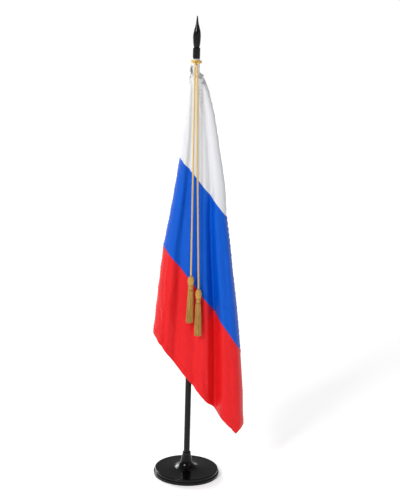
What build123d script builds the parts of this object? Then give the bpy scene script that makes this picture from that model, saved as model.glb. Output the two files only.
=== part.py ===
"""Desk flag stand: a weighted trumpet base, a pole with a spear finial, and a three-stripe
satin flag that hangs folded beside the pole, with a doubled cord and two tassels.

Millimetres, +Z up. The origin is the centre of the underside, on the pole's axis, and -Y
is the side that the flag shows to the room.
"""

import os
from math import copysign, cos, exp, pi, radians, sin, tan

from build123d import *

os.makedirs("parts", exist_ok=True)

# ---- base -------------------------------------------------------------------------------
BASE_R = 32.5  # foot ring
RIM_STEP = 0.9  # the upper tier stands in from the foot ring by this
FOOT_RING_TOP = 3.2
RIM_TOP = 6.4
RIM_WALL = 2.3
SKIN = 1.6  # wall of the moulded top
SHELL_BOTTOM = 0.5  # the pad carries the base, and the shell's edge hangs just clear
PAD_THICK = 1.2
PLATE_THICK = 1.2
BALLAST_THICK = 2.1
SEAT_GAP = 0.25  # radial play of the loose-fitting discs inside the rim
BOSS_TOP = 23.0
FLARE = 14.0  # how quickly the trumpet falls away from the boss
SKIRT_SHARE = 0.12  # share of the trumpet's height that is left to a long low slope

# ---- pole, and the cup that it stands in -------------------------------------------------
POLE_R = 3.0
POLE_WALL = 1.0
POLE_TOP = 413.6
BOSS_WALL = 1.0
CUP_R = 4.9
CUP_TOP = 10.4
CUP_FLOOR = 1.2
RUN_FIT = 0.05  # radial clearance of a turning or sliding fit
POLE_PASS_GAP = 0.12  # the pole's way through the boss, wider than the cup's grip
PLUG_LENGTH = 8.0

# ---- finial -----------------------------------------------------------------------------
FERRULE_STEP = 0.45  # the ferrule stands out from the pole by this
FERRULE_HEIGHT = 9.7
SPIGOT_LENGTH = 9.0
NECK_R = 2.5
BLADE_R = 3.65
SPEAR_HIGH = 29.2  # above the ferrule
# the spear's outline, as shares of its widest radius and of its height
SPEAR_OUTLINE = ((0.93, 0.17), (1.0, 0.34), (0.86, 0.53), (0.45, 0.72))
TIP_SHARE = 1 / 7

# ---- ballast screws ----------------------------------------------------------------------
SCREW_COUNT = 3
SCREW_CIRCLE_R = 19.0
SCREW_R = 0.9
SCREW_HEAD_R = 1.9
SCREW_HEAD_DEEP = 1.0
SCREW_GRIP = 2.2  # thread inside the post
POST_R = 2.4

# ---- flag -------------------------------------------------------------------------------
HOIST = 200.0  # height of the flag, along the pole
FLY = 300.0  # length of the flag, away from the pole
STRIPES = ("white_panel", "blue_panel", "red_panel")
CLOTH = 0.4  # the CAD sheet; the satin itself is thinner
SLEEVE_GAP = 0.1  # slack of the sleeve on the pole
SLEEVE_WALL = 0.5
SLEEVE_SHY = 0.4  # the sleeve ends below the ferrule by this
SLEEVE_HEM = 1.0  # sleeve below the flag's lower corner
SEAM_WIDE = 1.2
SEAM_THICK = 0.8
CORNER_DROP = 5.6  # the flag's top corner, below the top of the pole
SIDE_X = 48.0  # the corner of cloth beyond this is turned under
# Each fold line is a straight ray from the flag's top corner. A layer runs between two rays:
# its turn from straight down where it starts and ends, and how far it clears the seam's reach in
# Y, behind the pole or in front of it. The first layer starts in the seam itself.
LAYERS = (
    (0.0, -5.5, 0.0),
    (-5.5, 12.0, 0.4),
    (12.0, -6.5, 2.4),
    (-6.5, 14.0, -4.2),
    (14.0, 1.0, 4.4),
    (1.0, 12.0, 6.4),
    (12.0, 8.0, 8.4),
)

# ---- cord and tassels --------------------------------------------------------------------
CORD_R = 0.85
ARC_SHARE = 0.45  # how much of a run between two corners an arc may take at each end
LOOP_TURNS = 2
LOOP_DROP = 3.2  # the loop's middle, below the top of the pole
KNOT_R = 2.5
KNOT_DEEP = 4.2
KNOT_BACK_SHARE = 0.6  # how much of the knot's radius lies flat on the loop
TASSEL_HEAD_R = 2.9
TASSEL_HEAD_HIGH = 9.0
TASSEL_SHOULDER = 0.55  # where the head is widest, as a share of its height
TASSEL_BAND_R = 2.4
TASSEL_BAND_HIGH = 4.0
TASSEL_SKIRT_R = 3.6
TASSEL_SKIRT_HIGH = 33.0
TASSEL_WAIST = 0.93  # the skirt's radius halfway down, as a share of its foot
LEFT_ROUTE = [(-1.0, -8.4, 406.6), (-1.0, -10.9, 399.0), (-0.5, -12.2, 310.0), (0.0, -13.9, 208.0)]
RIGHT_ROUTE = [(1.0, -8.4, 406.6), (1.5, -10.9, 399.0), (3.6, -12.2, 310.0), (7.6, -13.9, 195.0)]

# ---- worked out from the sizes above ------------------------------------------------------
plate_bottom = PAD_THICK
ballast_bottom = plate_bottom + PLATE_THICK
rim_inner_r = BASE_R - RIM_WALL
tier_r = BASE_R - RIM_STEP
boss_r = POLE_R + BOSS_WALL
cup_bottom = ballast_bottom + RUN_FIT
cup_house_r = CUP_R + SKIN + RUN_FIT
pole_bottom = cup_bottom + CUP_FLOOR
pole_bore_r = POLE_R - POLE_WALL
ferrule_r = POLE_R + FERRULE_STEP
ferrule_top = POLE_TOP + FERRULE_HEIGHT
spigot_r = pole_bore_r - RUN_FIT
spigot_bottom = POLE_TOP - SPIGOT_LENGTH
finial_top = ferrule_top + SPEAR_HIGH
sleeve_top = POLE_TOP - SLEEVE_SHY
corner_z = POLE_TOP - CORNER_DROP
sleeve_inner_r = POLE_R + SLEEVE_GAP
sleeve_r = sleeve_inner_r + SLEEVE_WALL
corner_x = -sleeve_r - SEAM_WIDE
stripe_high = HOIST / len(STRIPES)
loop_inner_r = sleeve_r + RUN_FIT
loop_mid_r = loop_inner_r + CORD_R
loop_z = POLE_TOP - LOOP_DROP


def crown(radius):
    """Height of the moulded top above the table, at a distance from the pole's axis."""
    reach = (radius - boss_r) / (tier_r - boss_r)
    slope = SKIRT_SHARE * (1 - reach) ** 2
    flare = (1 - SKIRT_SHARE) * exp(-FLARE * reach)
    return RIM_TOP + (BOSS_TOP - RIM_TOP) * (slope + flare)


# the outline's points crowd towards the boss, where the trumpet is steepest
CROWN_STEPS = (0.15, 0.25, 0.37, 0.5, 0.65, 0.82)
crown_radii = [boss_r + (tier_r - boss_r) * step**2 for step in CROWN_STEPS]


def save(part, name):
    """Label a finished piece and write its STEP file."""
    part.label = name
    export_step(part, f"parts/{name}.step")


# ======== base ============================================================================
rim_round = RIM_STEP
top_points = [(boss_r, BOSS_TOP)] + [(r, crown(r)) for r in crown_radii] + [(tier_r - rim_round, RIM_TOP)]
under_points = [(r, crown(r) - SKIN) for r in crown_radii if r > cup_house_r]
under_points += [(rim_inner_r, RIM_TOP - SKIN)]

with BuildPart() as base_shell:
    with BuildSketch(Plane.XZ):
        with BuildLine():
            Polyline((0, SHELL_BOTTOM), (BASE_R, SHELL_BOTTOM), (BASE_R, FOOT_RING_TOP))
            Polyline((BASE_R, FOOT_RING_TOP), (tier_r, FOOT_RING_TOP), (tier_r, RIM_TOP - rim_round))
            RadiusArc((tier_r, RIM_TOP - rim_round), top_points[-1], -rim_round)
            Spline(*reversed(top_points), tangents=[(-1, 0), (0, 1)])
            Polyline(top_points[0], (0, BOSS_TOP), (0, SHELL_BOTTOM))
        make_face()
    revolve(axis=Axis.Z)
    # the hollow that takes the ballast and the plate
    with BuildSketch(Plane.XZ):
        with BuildLine():
            Polyline(under_points[0], (cup_house_r, under_points[0][1]), (cup_house_r, SHELL_BOTTOM))
            Polyline((cup_house_r, SHELL_BOTTOM), (rim_inner_r, SHELL_BOTTOM), under_points[-1])
            Polyline(*under_points)
        make_face()
    revolve(axis=Axis.Z, mode=Mode.SUBTRACT)
    # the cup's housing ends on the plate, and posts stand down from the top for the screws
    with BuildSketch(Plane.XY.offset(SHELL_BOTTOM)):
        Circle(cup_house_r)
    extrude(amount=ballast_bottom - SHELL_BOTTOM, mode=Mode.SUBTRACT)
    with BuildSketch(Plane.XY.offset(ballast_bottom)):
        with PolarLocations(SCREW_CIRCLE_R, SCREW_COUNT, start_angle=90):
            Circle(POST_R)
    extrude(amount=crown(SCREW_CIRCLE_R) - SKIN / 2 - ballast_bottom)
    with BuildSketch(Plane.XY.offset(ballast_bottom)):
        with PolarLocations(SCREW_CIRCLE_R, SCREW_COUNT, start_angle=90):
            Circle(SCREW_R)
    extrude(amount=SCREW_GRIP, mode=Mode.SUBTRACT)
    # the cup's seat, and the pole's way through the boss
    with BuildSketch(Plane.XY.offset(ballast_bottom)):
        Circle(CUP_R + RUN_FIT)
    extrude(amount=CUP_TOP + RUN_FIT - ballast_bottom, mode=Mode.SUBTRACT)
    with BuildSketch(Plane.XY.offset(ballast_bottom)):
        Circle(POLE_R + POLE_PASS_GAP)
    extrude(amount=BOSS_TOP - ballast_bottom, mode=Mode.SUBTRACT)
save(base_shell.part, "base_shell")

with BuildPart() as ballast_disc:
    with BuildSketch(Plane.XY.offset(ballast_bottom)):
        Circle(rim_inner_r - SEAT_GAP)
        Circle(cup_house_r + SEAT_GAP, mode=Mode.SUBTRACT)
        with PolarLocations(SCREW_CIRCLE_R, SCREW_COUNT, start_angle=90):
            Circle(POST_R + SEAT_GAP, mode=Mode.SUBTRACT)
    extrude(amount=BALLAST_THICK)
save(ballast_disc.part, "ballast_disc")

with BuildPart() as bottom_plate:
    with BuildSketch(Plane.XY.offset(plate_bottom)):
        Circle(rim_inner_r - SEAT_GAP)
    extrude(amount=PLATE_THICK)
    with Locations(Plane(origin=(0, 0, plate_bottom), x_dir=(1, 0, 0), z_dir=(0, 0, -1))):
        with PolarLocations(SCREW_CIRCLE_R, SCREW_COUNT, start_angle=-90):
            CounterSinkHole(SCREW_R + RUN_FIT, SCREW_HEAD_R + RUN_FIT, PLATE_THICK)
save(bottom_plate.part, "bottom_plate")

with BuildPart() as cover_screws:
    with BuildSketch(Plane.XZ):
        with BuildLine():
            Polyline(
                (0, plate_bottom),
                (SCREW_HEAD_R, plate_bottom),
                (SCREW_R, plate_bottom + SCREW_HEAD_DEEP),
                (SCREW_R, ballast_bottom + SCREW_GRIP - RUN_FIT),
                (0, ballast_bottom + SCREW_GRIP - RUN_FIT),
                close=True,
            )
        make_face()
    revolve(axis=Axis.Z)
one_screw = cover_screws.part
screw_places = PolarLocations(SCREW_CIRCLE_R, SCREW_COUNT, start_angle=90).locations
screw_group = Compound(children=[place * one_screw for place in screw_places])
save(screw_group, "cover_screws")

with BuildPart() as felt_pad:
    with BuildSketch(Plane.XY):
        Circle(rim_inner_r - SEAT_GAP)
    extrude(amount=PAD_THICK)
save(felt_pad.part, "felt_pad")

# ======== pole ============================================================================
with BuildPart() as pole_cup:
    with BuildSketch(Plane.XY.offset(cup_bottom)):
        Circle(CUP_R)
    extrude(amount=CUP_TOP - cup_bottom)
    with BuildSketch(Plane.XY.offset(pole_bottom)):
        Circle(POLE_R + RUN_FIT)
    extrude(amount=CUP_TOP - pole_bottom, mode=Mode.SUBTRACT)
save(pole_cup.part, "pole_cup")

with BuildPart() as pole_tube:
    with BuildSketch(Plane.XY.offset(pole_bottom)):
        Circle(POLE_R)
        Circle(pole_bore_r, mode=Mode.SUBTRACT)
    extrude(amount=POLE_TOP - pole_bottom)
save(pole_tube.part, "pole_tube")

with BuildPart() as pole_end_plug:
    with BuildSketch(Plane.XY.offset(pole_bottom)):
        Circle(pole_bore_r)
    extrude(amount=PLUG_LENGTH)
    chamfer(pole_end_plug.edges().group_by(Axis.Z)[-1], length=pole_bore_r / 4)
save(pole_end_plug.part, "pole_end_plug")

# ======== finial ==========================================================================
with BuildPart() as finial_ferrule:
    with BuildSketch(Plane.XY.offset(POLE_TOP)):
        Circle(ferrule_r)
    extrude(amount=FERRULE_HEIGHT)
    ends = finial_ferrule.edges().filter_by(GeomType.CIRCLE)
    fillet(ends, radius=ferrule_r / 5)
    with BuildSketch(Plane.XY.offset(POLE_TOP)):
        Circle(spigot_r + RUN_FIT)
    extrude(amount=FERRULE_HEIGHT, mode=Mode.SUBTRACT)
save(finial_ferrule.part, "finial_ferrule")

tip_r = BLADE_R * TIP_SHARE
spear_points = [(BLADE_R * wide, ferrule_top + SPEAR_HIGH * high) for wide, high in SPEAR_OUTLINE]
with BuildPart() as finial_spear:
    with BuildSketch(Plane.XZ):
        with BuildLine():
            Polyline((0, ferrule_top), (0, spigot_bottom), (spigot_r, spigot_bottom))
            Polyline((spigot_r, spigot_bottom), (spigot_r, ferrule_top), (NECK_R, ferrule_top))
            Spline(
                (NECK_R, ferrule_top),
                *spear_points,
                (tip_r, finial_top - tip_r),
                tangents=[(0.4, 1), (-0.12, 1)],
            )
            RadiusArc((tip_r, finial_top - tip_r), (0, finial_top), -tip_r)
            Line((0, finial_top), (0, ferrule_top))
        make_face()
    revolve(axis=Axis.Z)
save(finial_spear.part, "finial_spear")

# ======== flag ============================================================================
seam_bottom = corner_z - HOIST
with BuildPart() as hoist_sleeve:
    with BuildSketch(Plane.XY.offset(seam_bottom - SLEEVE_HEM)):
        Circle(sleeve_r)
    extrude(amount=sleeve_top - seam_bottom + SLEEVE_HEM)
    with BuildSketch(Plane.XY.offset(seam_bottom)):
        with Locations((corner_x / 2, 0)):
            Rectangle(-corner_x, SEAM_THICK)
    extrude(amount=HOIST)
    with BuildSketch(Plane.XY.offset(seam_bottom - SLEEVE_HEM)):
        Circle(sleeve_inner_r)
    extrude(amount=sleeve_top - seam_bottom + SLEEVE_HEM, mode=Mode.SUBTRACT)
save(hoist_sleeve.part, "hoist_sleeve")


def layer_plane(turn_start, turn_end, cut_start, depth):
    """The plane of a layer, whose X runs along the flag's fly and whose -Y runs down its hoist."""
    way = 1 if turn_end > turn_start else -1
    turn = radians(turn_start - way * cut_start)
    along_fly = (way * cos(turn), 0, way * sin(turn))
    return Plane(origin=(corner_x, depth, corner_z), x_dir=along_fly, z_dir=(0, -way, 0))


def ray(cut, reach, aside=0.0):
    """A point of the flat flag on the ray that leaves its top corner at an angle to the hoist."""
    angle = radians(cut)
    return (reach * sin(angle) + aside * cos(angle), -reach * cos(angle) + aside * sin(angle))


def layer_depth(clear):
    """How far behind the pole's axis a layer lies, or in front of it if it is less than nothing."""
    return copysign(-corner_x, clear) + clear if clear else 0.0


far = HOIST + FLY
side_plane = Plane(origin=(SIDE_X, 0, 0), x_dir=(0, 1, 0), z_dir=(1, 0, 0))
for number, name in enumerate(STRIPES):
    stripe_top = number * stripe_high
    with BuildPart() as panel:
        cut_start = 0.0
        for index, (turn_start, turn_end, clear) in enumerate(LAYERS):
            depth = layer_depth(clear)
            cut_end = cut_start + abs(turn_end - turn_start)
            plane = layer_plane(turn_start, turn_end, cut_start, depth)
            if cut_start == 0 or stripe_top < FLY / tan(radians(cut_start)):
                wedge = [(0, 0), ray(cut_start, far), ray(cut_end, far)]
                with BuildSketch(plane.offset(-CLOTH / 2)):
                    with Locations((FLY / 2, -stripe_top - stripe_high / 2)):
                        Rectangle(FLY, stripe_high)
                    with BuildLine():
                        Polyline(*wedge, close=True)
                    make_face(mode=Mode.INTERSECT)
                extrude(amount=CLOTH)
                if index > 0:
                    # the fold that joins this layer to the one before
                    gap = (depth - layer_depth(LAYERS[index - 1][2])) * plane.z_dir.Y
                    strip = [ray(cut_start, 0, -CLOTH / 2), ray(cut_start, far, -CLOTH / 2)]
                    strip += [ray(cut_start, far, CLOTH / 2), ray(cut_start, 0, CLOTH / 2)]
                    with BuildSketch(plane):
                        with Locations((FLY / 2, -stripe_top - stripe_high / 2)):
                            Rectangle(FLY, stripe_high)
                        with BuildLine():
                            Polyline(*strip, close=True)
                        make_face(mode=Mode.INTERSECT)
                    extrude(amount=-gap)
            cut_start = cut_end
        split(bisect_by=side_plane, keep=Keep.BOTTOM)
        with BuildSketch(Plane.XY):
            Circle(-corner_x)
        extrude(amount=corner_z, mode=Mode.SUBTRACT)
        if number > 0:
            add(stripe_above, mode=Mode.SUBTRACT)
    stripe_above = panel.part
    save(panel.part, name)
    print(f"{name}: {panel.part.volume / CLOTH:.0f} mm2 of sheet, {len(panel.part.solids())} solid")

# ======== cord and tassels ==================================================================
loop_high = 2 * CORD_R * LOOP_TURNS
with BuildPart() as cord_loop:
    with BuildSketch(Plane.XZ):
        with Locations((loop_mid_r, loop_z)):
            SlotOverall(loop_high, 2 * CORD_R, rotation=90)
    revolve(axis=Axis.Z)
save(cord_loop.part, "cord_loop")

knot_back = -loop_mid_r
with BuildPart() as cord_knot:
    with BuildSketch(Plane.YZ):
        with BuildLine():
            front = knot_back - KNOT_DEEP
            Spline(
                (knot_back, loop_z + KNOT_R * KNOT_BACK_SHARE),
                ((knot_back + front) / 2, loop_z + KNOT_R),
                (front, loop_z),
                tangents=[(-1, 1), (0, -1)],
            )
            Polyline((front, loop_z), (knot_back, loop_z))
            Line((knot_back, loop_z), (knot_back, loop_z + KNOT_R * KNOT_BACK_SHARE))
        make_face()
    revolve(axis=Axis((0, 0, loop_z), (0, 1, 0)))
    add(cord_loop.part, mode=Mode.SUBTRACT)
save(cord_knot.part, "cord_knot")


def corner_radii(points):
    """The largest arcs that the runs beside each corner of a route allow."""
    radii = []
    for before, corner, after in zip(points, points[1:], points[2:]):
        run_in = Vector(*corner) - Vector(*before)
        run_out = Vector(*after) - Vector(*corner)
        half_turn = radians(run_in.get_angle(run_out)) / 2
        radii.append(ARC_SHARE * min(run_in.length, run_out.length) / tan(half_turn))
    return radii


for side, route in (("left", LEFT_ROUTE), ("right", RIGHT_ROUTE)):
    radii = corner_radii(route)
    with BuildPart() as strand:
        with BuildLine() as path:
            FilletPolyline(*route, radius=radii)
        with BuildSketch(Plane(origin=path.line @ 0, z_dir=path.line % 0)):
            Circle(CORD_R)
        sweep(path=path.line)
    save(strand.part, f"{side}_cord")
    length = path.wire().length
    ratio = strand.part.volume / (pi * CORD_R**2 * length)
    shown = ", ".join(f"{radius:.0f}" for radius in radii)
    print(f"{side}_cord: {length:.1f} mm, radii {shown} mm, volume over section x length {ratio:.4f}")

    end_x, end_y, head_top = route[-1]
    hang = Plane(origin=(end_x, end_y, head_top))
    band_top = -TASSEL_HEAD_HIGH
    skirt_top = band_top - TASSEL_BAND_HIGH
    hang_axis = Axis((end_x, end_y, head_top), (0, 0, 1))
    upright = Plane(origin=(end_x, end_y, head_top), x_dir=(1, 0, 0), z_dir=(0, -1, 0))

    with BuildPart() as tassel_head:
        with BuildSketch(upright):
            with BuildLine():
                Polyline((CORD_R, 0), (0, 0), (0, band_top), (TASSEL_BAND_R, band_top))
                Spline(
                    (TASSEL_BAND_R, band_top),
                    (TASSEL_HEAD_R, band_top * TASSEL_SHOULDER),
                    (CORD_R, 0),
                    tangents=[(0.6, 1), (-1, 0.4)],
                )
            make_face()
        revolve(axis=hang_axis)
    save(tassel_head.part, f"{side}_tassel_head")

    with BuildPart() as tassel_band:
        with BuildSketch(hang.offset(skirt_top)):
            Circle(TASSEL_BAND_R)
        extrude(amount=TASSEL_BAND_HIGH)
    save(tassel_band.part, f"{side}_tassel_band")

    with BuildPart() as tassel_skirt:
        with BuildSketch(upright):
            with BuildLine():
                foot = skirt_top - TASSEL_SKIRT_HIGH
                Polyline((0, skirt_top), (0, foot), (TASSEL_SKIRT_R, foot))
                Spline(
                    (TASSEL_SKIRT_R, foot),
                    (TASSEL_SKIRT_R * TASSEL_WAIST, (skirt_top + foot) / 2),
                    (TASSEL_BAND_R, skirt_top),
                )
                Line((TASSEL_BAND_R, skirt_top), (0, skirt_top))
            make_face()
        revolve(axis=hang_axis)
    save(tassel_skirt.part, f"{side}_tassel_skirt")
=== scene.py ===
# %% [markdown]
# # A desk flag stand
#
# A small satin flag hangs in folds from a black pole on a weighted base, with a doubled gold cord
# and two tassels. The hard pieces come from the frame as they are and only get a finish here. The
# cloth, the cord and the tassels are made in this file, in metres, around the frame.

# %% Load the frame
import math
import random

import bpy
import numpy as np
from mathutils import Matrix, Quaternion, Vector


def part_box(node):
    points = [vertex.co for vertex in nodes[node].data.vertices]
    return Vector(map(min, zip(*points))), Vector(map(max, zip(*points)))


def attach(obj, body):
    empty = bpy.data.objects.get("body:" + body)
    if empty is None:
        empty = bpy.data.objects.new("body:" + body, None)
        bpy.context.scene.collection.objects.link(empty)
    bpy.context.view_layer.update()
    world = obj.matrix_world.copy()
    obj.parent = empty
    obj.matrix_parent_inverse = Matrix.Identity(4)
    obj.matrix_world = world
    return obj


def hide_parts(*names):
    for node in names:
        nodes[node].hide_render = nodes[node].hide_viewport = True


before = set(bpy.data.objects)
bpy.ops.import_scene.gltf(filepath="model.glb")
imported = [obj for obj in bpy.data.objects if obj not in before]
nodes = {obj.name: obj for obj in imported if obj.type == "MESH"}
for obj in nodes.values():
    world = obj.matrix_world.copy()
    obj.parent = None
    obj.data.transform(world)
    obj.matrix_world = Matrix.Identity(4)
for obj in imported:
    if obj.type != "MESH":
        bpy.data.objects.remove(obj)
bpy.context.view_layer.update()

MM = 0.001

# %% [markdown]
# ## Camera
#
# A product camera about 1.2 m away looks a little down on the stand, with a very small roll. A long
# lens keeps the pole straight. The camera is made first, because the cords are judged against what
# it sees.

# %% Camera
CAMERA_BACK = 1.201
CAMERA_UP = 0.5244
CAMERA_ASIDE = 0.0080
CAMERA_PITCH = 0.2399
CAMERA_ROLL = 0.0263
LENS_PER_SENSOR = 3.2165  # focal length over the sensor's width
SENSOR = 36.0

camera_data = bpy.data.cameras.new("product_camera")
camera_data.sensor_fit = "HORIZONTAL"
camera_data.sensor_width = SENSOR
camera_data.lens = SENSOR * LENS_PER_SENSOR
camera = bpy.data.objects.new("product_camera", camera_data)
camera.location = (CAMERA_ASIDE, -CAMERA_BACK, CAMERA_UP)
camera.rotation_mode = "QUATERNION"
look = Quaternion((1, 0, 0), math.pi / 2 - CAMERA_PITCH)
camera.rotation_quaternion = look @ Quaternion((0, 0, 1), CAMERA_ROLL)
bpy.context.scene.collection.objects.link(camera)
bpy.context.scene.camera = camera
print(f"camera: {camera_data.lens:.1f} mm lens, {CAMERA_BACK:.2f} m back, {CAMERA_UP:.2f} m up")

# %% [markdown]
# ## Mesh helpers
#
# Most soft pieces here are grids or tubes worked out point by point. One helper turns lists of
# points and faces into an object, and one sweeps a round section along a line of points.

# %% Mesh helpers
def make_object(name, points, faces, smooth=True):
    """A mesh object from points and faces."""
    mesh = bpy.data.meshes.new(name)
    mesh.from_pydata([tuple(p) for p in points], [], faces)
    mesh.update()
    if smooth:
        mesh.shade_smooth()
    made = bpy.data.objects.new(name, mesh)
    bpy.context.scene.collection.objects.link(made)
    return made


def frames_along(line):
    """Unit tangents and two steady side directions for each point of a line."""
    line = np.asarray(line, float)
    tangents = np.gradient(line, axis=0)
    tangents /= np.linalg.norm(tangents, axis=1, keepdims=True)
    side = np.cross(tangents[0], (0, 0, 1) if abs(tangents[0][2]) < 0.9 else (0, 1, 0))
    sides = []
    for tangent in tangents:
        side = side - tangent * np.dot(side, tangent)
        side = side / np.linalg.norm(side)
        sides.append(side)
    sides = np.array(sides)
    return tangents, sides, np.cross(tangents, sides)


def tube(line, radii, around=8):
    """Points and faces of a closed round tube along a line, with a radius for each point."""
    line = np.asarray(line, float)
    radii = np.broadcast_to(radii, len(line))
    _, side, up = frames_along(line)
    turns = np.linspace(0, 2 * math.pi, around, endpoint=False)
    ring = np.cos(turns)[None, :, None] * side[:, None] + np.sin(turns)[None, :, None] * up[:, None]
    points = (line[:, None] + ring * radii[:, None, None]).reshape(-1, 3)
    faces = []
    for i in range(len(line) - 1):
        for j in range(around):
            k = (j + 1) % around
            faces.append((i * around + j, i * around + k, (i + 1) * around + k, (i + 1) * around + j))
    faces.append(tuple(reversed(range(around))))
    faces.append(tuple(range((len(line) - 1) * around, len(line) * around)))
    return points, faces


def joined(parts):
    """Several (points, faces) as one."""
    points, faces, start = [], [], 0
    for some_points, some_faces in parts:
        points.extend(some_points)
        faces.extend(tuple(start + i for i in face) for face in some_faces)
        start += len(some_points)
    return points, faces


def evenly(line, step):
    """The same line with its points a step apart."""
    line = np.asarray(line, float)
    along = np.r_[0, np.cumsum(np.linalg.norm(np.diff(line, axis=0), axis=1))]
    count = max(2, int(round(along[-1] / step)) + 1)
    wanted = np.linspace(0, along[-1], count)
    return np.stack([np.interp(wanted, along, line[:, i]) for i in range(3)], 1)

# %% [markdown]
# ## The cord
#
# The real cord is three gold yarns laid round each other. A plain round tube with a bump would look
# like wire close up, so each yarn is a thin tube that winds round the cord's middle line. The middle
# line of each hanging strand is one smooth curve through the points where the strand is laid: out of
# the knot, over the front of the cloth, and straight down under the tassel's weight.

# %% Cord
CORD_D = 1.7 * MM
YARNS = 3
YARN_R = 0.46 * CORD_D / 2
LAY_LENGTH = 5.2 * MM  # one full twist
strand_routes = {
    "left": [(-1.0, -8.4, 406.6), (-1.0, -10.9, 399.0), (-0.5, -12.2, 310.0), (0.0, -13.9, 208.0)],
    "right": [(1.0, -8.4, 406.6), (1.5, -10.9, 399.0), (3.6, -12.2, 310.0), (7.6, -13.9, 195.0)],
}


def route_line(name, points):
    """Points along the smooth curve that a route's points steer."""
    data = bpy.data.curves.new(name, "CURVE")
    data.dimensions = "3D"
    spline = data.splines.new("NURBS")
    spline.points.add(len(points) - 1)
    for point, place in zip(spline.points, points):
        point.co = (*[c * MM for c in place], 1)
    spline.order_u = 3
    spline.use_endpoint_u = True
    data.resolution_u = 24
    holder = bpy.data.objects.new(name, data)
    bpy.context.scene.collection.objects.link(holder)
    mesh = bpy.data.meshes.new_from_object(holder)
    line = np.array([v.co[:] for v in mesh.vertices])
    bpy.data.objects.remove(holder)
    return line


def laid_cord(line, step=0.45 * MM, around=7):
    """Points and faces of a three-yarn laid cord along a line."""
    line = evenly(line, step)
    _, side, up = frames_along(line)
    along = np.arange(len(line)) * step
    parts = []
    for yarn in range(YARNS):
        turn = 2 * math.pi * (along / LAY_LENGTH + yarn / YARNS)
        offset = (CORD_D / 2 - YARN_R) * (np.cos(turn)[:, None] * side + np.sin(turn)[:, None] * up)
        parts.append(tube(line + offset, YARN_R, around))
    return joined(parts)


strands, strand_lines = {}, {}
for side, route in strand_routes.items():
    strand_lines[side] = route_line(f"{side}_route", route)
    strands[side] = make_object(f"{side}_strand", *laid_cord(strand_lines[side]))
    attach(strands[side], f"{side}_tassel")
    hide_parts(f"{side}_cord")
    run = np.linalg.norm(np.diff(strand_lines[side], axis=0), axis=1).sum()
    print(f"{side} strand: {run * 1000:.0f} mm long")

# %% [markdown]
# ## Loop and knot
#
# Under the finial the cord goes twice round the top of the sleeve and is tied off in front. The loop
# is a two-turn helix. The knot is a small closed three-lobed knot of the same cord, pulled tight.

# %% Loop and knot
LOOP_TURNS = 2
LOOP_POINTS, KNOT_POINTS = 160, 150
SHORT_STEP = 0.5 * MM  # between the rings of yarn where the cord bends tightly
LOBES_DEEP = 1.0 * MM  # how far the knot's lobes pass over and under each other
KNOT_SWELL, KNOT_FORWARD = 0.1 * MM, 0.4 * MM
loop_low, loop_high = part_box("cord_loop")
loop_r = loop_high.x - CORD_D / 2
wind = np.linspace(-math.pi / 2, 2 * math.pi * LOOP_TURNS - math.pi / 2, LOOP_POINTS)
loop_z = np.linspace(loop_low.z + CORD_D / 2, loop_high.z - CORD_D / 2, len(wind))
loop_line = np.stack([loop_r * np.cos(wind), loop_r * np.sin(wind), loop_z], 1)
loop = make_object("cord_turns", *laid_cord(loop_line, SHORT_STEP))

knot_low, knot_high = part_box("cord_knot")
knot_middle = (knot_low + knot_high) / 2
knot_half = (knot_high - knot_low) / 2
lobes = np.linspace(0, 2 * math.pi, KNOT_POINTS)
knot_line = np.stack(
    [
        (np.sin(lobes) + 2 * np.sin(2 * lobes)) / 3 * (knot_half.x + KNOT_SWELL),
        -np.sin(3 * lobes) * LOBES_DEEP,
        (np.cos(lobes) - 2 * np.cos(2 * lobes)) / 3 * (knot_half.z + KNOT_SWELL),
    ],
    1,
) + np.array(knot_middle) + np.array([0, -KNOT_FORWARD, 0])
knot = make_object("cord_knot_tied", *laid_cord(knot_line, SHORT_STEP))
for piece, node in ((loop, "cord_loop"), (knot, "cord_knot")):
    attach(piece, "flag")
    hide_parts(node)
print(f"loop: {LOOP_TURNS} turns, radius {loop_r * 1000:.2f} mm; knot about {knot_half.x * 2000:.1f} mm wide")

# %% [markdown]
# ## Tassels
#
# A tassel is a bundle of threads folded over a small ball, bound at the neck, and left loose below.
# The head gets a ridge for each thread that runs down over it. The binding is a tight coil. The
# skirt is made thread by thread, because its broken lower edge and the gaps between the threads are
# what the eye sees.

# %% Tassel heads
HEAD_THREADS, SKIRT_THREADS = 30, 150
THREAD_R = 0.24 * MM
HEAD_ROWS = 22
CROWN_SHARE, NECK_SHARE = 0.29, 0.80  # the head's radius at the cord and at the neck, over its largest
HEAD_FROM, HEAD_RUN, HEAD_FULL = 0.08, 0.80, 0.75  # the part of a half wave the side follows, its fullness
RIDGE_DEEP, RIDGE_TWIST = 0.045, 2.0


def tassel_head(name, low, high):
    """A ball of threads that run from the cord down to the neck."""
    middle = (low + high) / 2
    radius = (high.x - low.x) / 2
    rows, around = HEAD_ROWS, HEAD_THREADS * 4
    points, faces = [], []
    for row in range(rows + 1):
        share = row / rows
        wave = math.sin(math.pi * min(1.0, HEAD_FROM + share * HEAD_RUN)) ** HEAD_FULL
        swell = CROWN_SHARE + (1 - CROWN_SHARE) * wave
        neck = NECK_SHARE * radius
        ring = radius * swell if share < 0.6 else max(neck, radius * swell)
        for step in range(around):
            turn = 2 * math.pi * step / around
            ridge = 1 + RIDGE_DEEP * math.cos(HEAD_THREADS * turn + share * RIDGE_TWIST)
            place = Vector((math.cos(turn) * ring * ridge, math.sin(turn) * ring * ridge, 0))
            points.append(Vector((middle.x, middle.y, high.z - share * (high.z - low.z))) + place)
    for row in range(rows):
        for step in range(around):
            after = (step + 1) % around
            corners = (row * around + step, (row + 1) * around + step)
            faces.append((*corners, (row + 1) * around + after, row * around + after))
    faces.append(tuple(range(around)))
    faces.append(tuple(reversed(range(rows * around, (rows + 1) * around))))
    return make_object(name, points, faces)

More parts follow.
